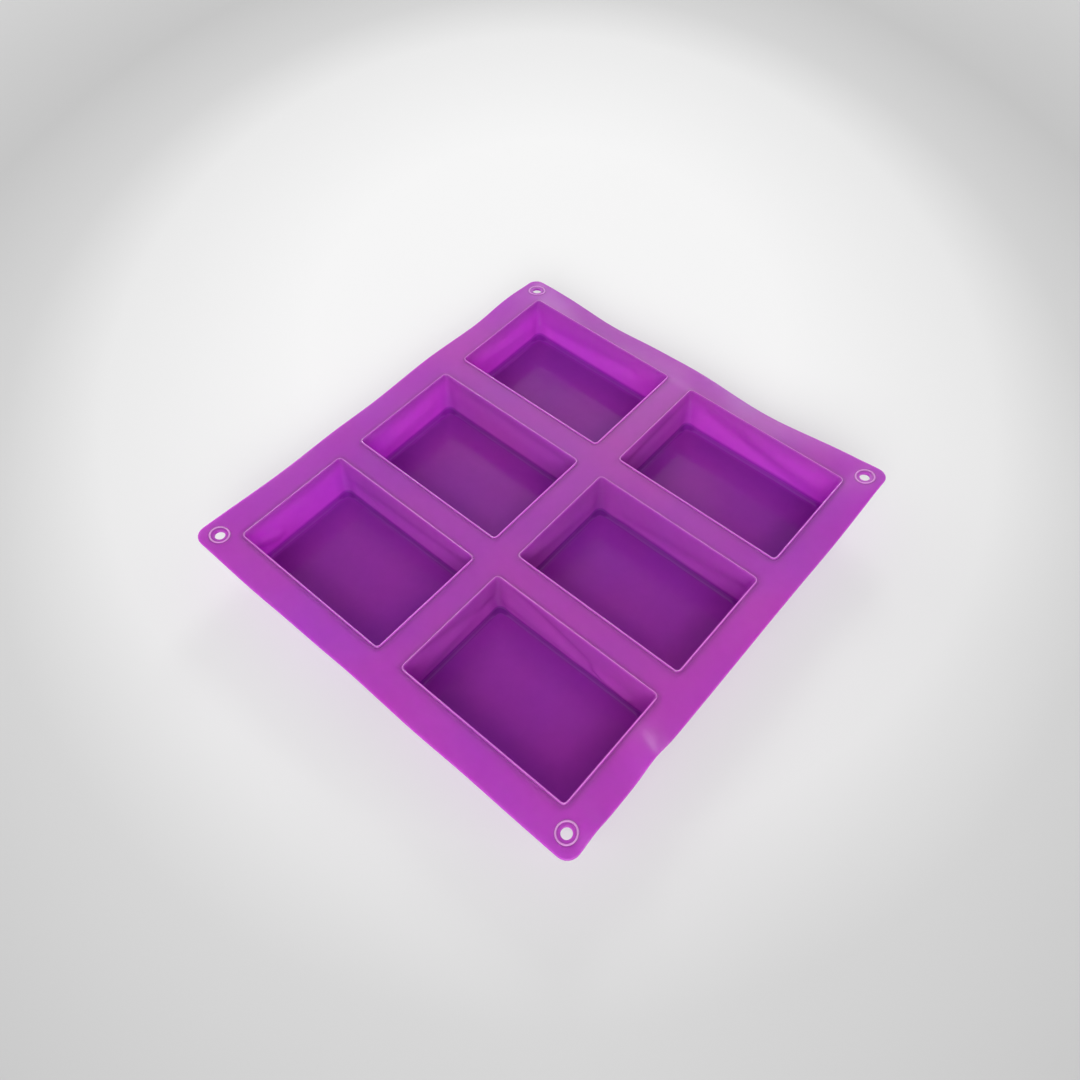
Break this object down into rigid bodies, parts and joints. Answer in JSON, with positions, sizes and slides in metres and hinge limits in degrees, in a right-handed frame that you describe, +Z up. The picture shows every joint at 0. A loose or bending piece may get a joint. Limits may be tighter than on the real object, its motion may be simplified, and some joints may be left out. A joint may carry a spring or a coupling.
{
  "type": "silicone soap mould",
  "caption": "Flexible rectangular soap mould: a flat sheet with straight-sided bar-shaped pockets hanging below it, push-out floors and a hanging eyelet in each corner.",
  "frame": {"origin": "centre of the footprint, on the plane that the pockets stand on", "axes": "+X along the pockets' long side (across the two columns), +Y along the three rows, +Z up, out of the mouths"},
  "size_m": [0.208, 0.222, 0.0255],
  "materials": {
    "silicone_sheet": "satin translucent silicone",
    "silicone_pocket": "glossier translucent silicone",
    "silicone_edge": "rounded moulded edge, satin"
  },
  "bodies": {
    "mould": {"sheet": "silicone_sheet", "pocket_wall_a1": "silicone_pocket", "pocket_wall_a2": "silicone_pocket", "pocket_wall_a3": "silicone_pocket", "pocket_wall_b1": "silicone_pocket", "pocket_wall_b2": "silicone_pocket", "pocket_wall_b3": "silicone_pocket", "mouth_bead_a1": "silicone_edge", "mouth_bead_a2": "silicone_edge", "mouth_bead_a3": "silicone_edge", "mouth_bead_b1": "silicone_edge", "mouth_bead_b2": "silicone_edge", "mouth_bead_b3": "silicone_edge", "eyelet_left_front": "silicone_edge", "eyelet_right_front": "silicone_edge", "eyelet_left_back": "silicone_edge", "eyelet_right_back": "silicone_edge"},
    "floor_a1": {"pocket_floor_a1": "silicone_pocket"},
    "floor_a2": {"pocket_floor_a2": "silicone_pocket"},
    "floor_a3": {"pocket_floor_a3": "silicone_pocket"},
    "floor_b1": {"pocket_floor_b1": "silicone_pocket"},
    "floor_b2": {"pocket_floor_b2": "silicone_pocket"},
    "floor_b3": {"pocket_floor_b3": "silicone_pocket"}
  },
  "joints": [
    {"name": "push_out_a1", "type": "slide", "parent": "mould", "child": "floor_a1", "axis": [0, 0, 1], "range_m": [0, 0.015], "stiffness_N_per_m": 400},
    {"name": "push_out_a2", "type": "slide", "parent": "mould", "child": "floor_a2", "axis": [0, 0, 1], "range_m": [0, 0.015], "stiffness_N_per_m": 400},
    {"name": "push_out_a3", "type": "slide", "parent": "mould", "child": "floor_a3", "axis": [0, 0, 1], "range_m": [0, 0.015], "stiffness_N_per_m": 400},
    {"name": "push_out_b1", "type": "slide", "parent": "mould", "child": "floor_b1", "axis": [0, 0, 1], "range_m": [0, 0.015], "stiffness_N_per_m": 400},
    {"name": "push_out_b2", "type": "slide", "parent": "mould", "child": "floor_b2", "axis": [0, 0, 1], "range_m": [0, 0.015], "stiffness_N_per_m": 400},
    {"name": "push_out_b3", "type": "slide", "parent": "mould", "child": "floor_b3", "axis": [0, 0, 1], "range_m": [0, 0.015], "stiffness_N_per_m": 400}
  ]
}
